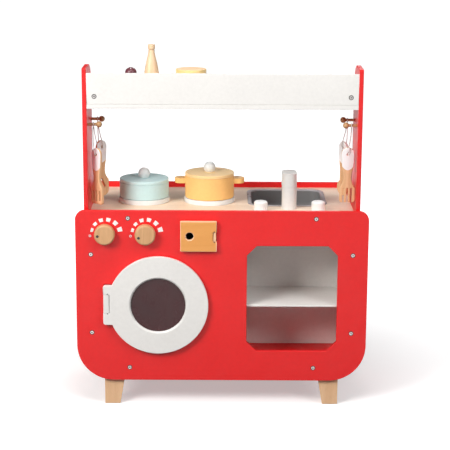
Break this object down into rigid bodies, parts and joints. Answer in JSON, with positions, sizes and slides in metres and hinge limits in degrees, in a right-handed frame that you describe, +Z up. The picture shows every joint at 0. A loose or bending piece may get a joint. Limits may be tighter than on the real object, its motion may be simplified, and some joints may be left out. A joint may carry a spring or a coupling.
{
  "type": "toy kitchen",
  "caption": "Wooden toy kitchen with hob, sink, round washer door, small flap door, open cubby, dial knobs, pots with lids, hanging utensils and a top shelf on two uprights.",
  "frame": {"origin": "centre of the bounding box at floor level, under the feet", "axes": "+Z up, -Y towards the front with the doors and knobs, +X to the right seen from the front"},
  "size_m": [0.6, 0.317, 0.75],
  "materials": {
    "red_paint": "satin paint",
    "white_paint": "satin paint",
    "worktop_board": "matt lacquered board",
    "natural_wood": "matt lacquered wood",
    "utensil_wood": "matt wood with a dipped handle",
    "knob_wood": "satin lacquered wood",
    "flap_wood": "satin stained plywood",
    "sink_grey": "satin",
    "fittings_white": "smooth satin paint",
    "steel": "plated",
    "magnet": "plated",
    "dial_ink": "printed paint",
    "window_smoke": "smoked clear sheet",
    "aqua_paint": "smooth matt paint",
    "yellow_paint": "smooth matt paint",
    "loop_cord": "braided cord",
    "maroon_paint": "satin paint",
    "bottle_wood": "matt lacquered wood",
    "canister_paint": "satin paint"
  },
  "bodies": {
    "cabinet": {"front_panel": "red_paint", "back_panel": "red_paint", "side_panel_left": "red_paint", "side_panel_right": "red_paint", "floor_board": "red_paint", "side_liner_left": "white_paint", "side_liner_right": "white_paint", "mid_divider": "white_paint", "front_partition": "white_paint", "rear_partition": "white_paint", "cubby_shelf": "white_paint", "rear_shelf": "white_paint", "top_shelf": "white_paint", "shelf_fascia": "white_paint", "worktop": "worktop_board", "leg_front_left": "natural_wood", "leg_front_right": "natural_wood", "leg_back_left": "natural_wood", "leg_back_right": "natural_wood", "shelf_blocks": "natural_wood", "peg_left_front": "natural_wood", "peg_left_back": "natural_wood", "peg_right_front": "natural_wood", "peg_right_back": "natural_wood", "flap_hinge_block": "natural_wood", "sink_basin": "sink_grey", "burner_left": "fittings_white", "burner_right": "fittings_white", "faucet_post": "fittings_white", "door_hinge_block": "fittings_white", "assembly_screws": "steel", "hinge_pins": "steel", "catch_magnets": "magnet", "dial_marks": "dial_ink"},
    "washer_door": {"door_ring": "fittings_white", "door_window": "window_smoke"},
    "flap": {"flap_door": "flap_wood"},
    "control_left": {"knob_left": "knob_wood"},
    "control_right": {"knob_right": "knob_wood"},
    "tap_cold": {"tap_left": "fittings_white"},
    "tap_hot": {"tap_right": "fittings_white"},
    "spout": {"faucet_spout": "fittings_white"},
    "low_pot": {"pot_low": "aqua_paint"},
    "low_pot_lid": {"pot_low_lid": "aqua_paint", "pot_low_knob": "fittings_white"},
    "high_pot": {"pot_high": "yellow_paint"},
    "high_pot_lid": {"pot_high_lid": "yellow_paint", "pot_high_knob": "fittings_white"},
    "hung_turner": {"turner": "utensil_wood", "turner_loop": "loop_cord"},
    "hung_spatula": {"spatula": "utensil_wood", "spatula_loop": "loop_cord"},
    "hung_fork": {"fork": "utensil_wood", "fork_loop": "loop_cord"},
    "hung_spoon": {"spoon": "utensil_wood", "spoon_loop": "loop_cord"},
    "shaker_toy": {"shaker": "maroon_paint"},
    "bottle_toy": {"bottle": "bottle_wood"},
    "canister_toy": {"canister": "canister_paint"}
  },
  "joints": [
    {"name": "washer_door_hinge", "type": "hinge", "parent": "cabinet", "child": "washer_door", "pos_m": [-0.235, -0.148, 0.2205], "axis": [0, 0, -1], "range_deg": [0, 90]},
    {"name": "flap_hinge", "type": "hinge", "parent": "cabinet", "child": "flap", "pos_m": [-0.0155, -0.1475, 0.3675], "axis": [0, 0, 1], "range_deg": [0, 90]},
    {"name": "control_left_turn", "type": "hinge", "parent": "cabinet", "child": "control_left", "pos_m": [-0.2392, -0.1415, 0.3695], "axis": [0, -1, 0], "continuous": true},
    {"name": "control_right_turn", "type": "hinge", "parent": "cabinet", "child": "control_right", "pos_m": [-0.1566, -0.1415, 0.3695], "axis": [0, -1, 0], "continuous": true},
    {"name": "tap_cold_turn", "type": "hinge", "parent": "cabinet", "child": "tap_cold", "pos_m": [0.08, -0.0835, 0.4065], "axis": [0, 0, 1], "continuous": true},
    {"name": "tap_hot_turn", "type": "hinge", "parent": "cabinet", "child": "tap_hot", "pos_m": [0.199, -0.0835, 0.4065], "axis": [0, 0, 1], "continuous": true},
    {"name": "spout_swivel", "type": "hinge", "parent": "cabinet", "child": "spout", "pos_m": [0.1395, -0.0635, 0.455], "axis": [0, 0, 1], "range_deg": [-100, 100]},
    {"name": "low_pot_lift", "type": "slide", "parent": "cabinet", "child": "low_pot", "axis": [0, 0, 1], "range_m": [0, 0.06]},
    {"name": "low_pot_lid_lift", "type": "slide", "parent": "low_pot", "child": "low_pot_lid", "axis": [0, 0, 1], "range_m": [0, 0.05]},
    {"name": "high_pot_lift", "type": "slide", "parent": "cabinet", "child": "high_pot", "axis": [0, 0, 1], "range_m": [0, 0.06]},
    {"name": "high_pot_lid_lift", "type": "slide", "parent": "high_pot", "child": "high_pot_lid", "axis": [0, 0, 1], "range_m": [0, 0.05]},
    {"name": "turner_swing", "type": "hinge", "parent": "cabinet", "child": "hung_turner", "pos_m": [-0.256, -0.1075, 0.5895], "axis": [1, 0, 0], "range_deg": [-12, 12]},
    {"name": "spatula_swing", "type": "hinge", "parent": "cabinet", "child": "hung_spatula", "pos_m": [-0.253, -0.0375, 0.5895], "axis": [1, 0, 0], "range_deg": [-12, 12]},
    {"name": "fork_swing", "type": "hinge", "parent": "cabinet", "child": "hung_fork", "pos_m": [0.256, -0.1075, 0.5895], "axis": [1, 0, 0], "range_deg": [-12, 12]},
    {"name": "spoon_swing", "type": "hinge", "parent": "cabinet", "child": "hung_spoon", "pos_m": [0.253, -0.0375, 0.5895], "axis": [1, 0, 0], "range_deg": [-12, 12]},
    {"name": "shaker_lift", "type": "slide", "parent": "cabinet", "child": "shaker_toy", "axis": [0, 0, 1], "range_m": [0, 0.08]},
    {"name": "bottle_lift", "type": "slide", "parent": "cabinet", "child": "bottle_toy", "axis": [0, 0, 1], "range_m": [0, 0.12]},
    {"name": "canister_lift", "type": "slide", "parent": "cabinet", "child": "canister_toy", "axis": [0, 0, 1], "range_m": [0, 0.08]}
  ]
}
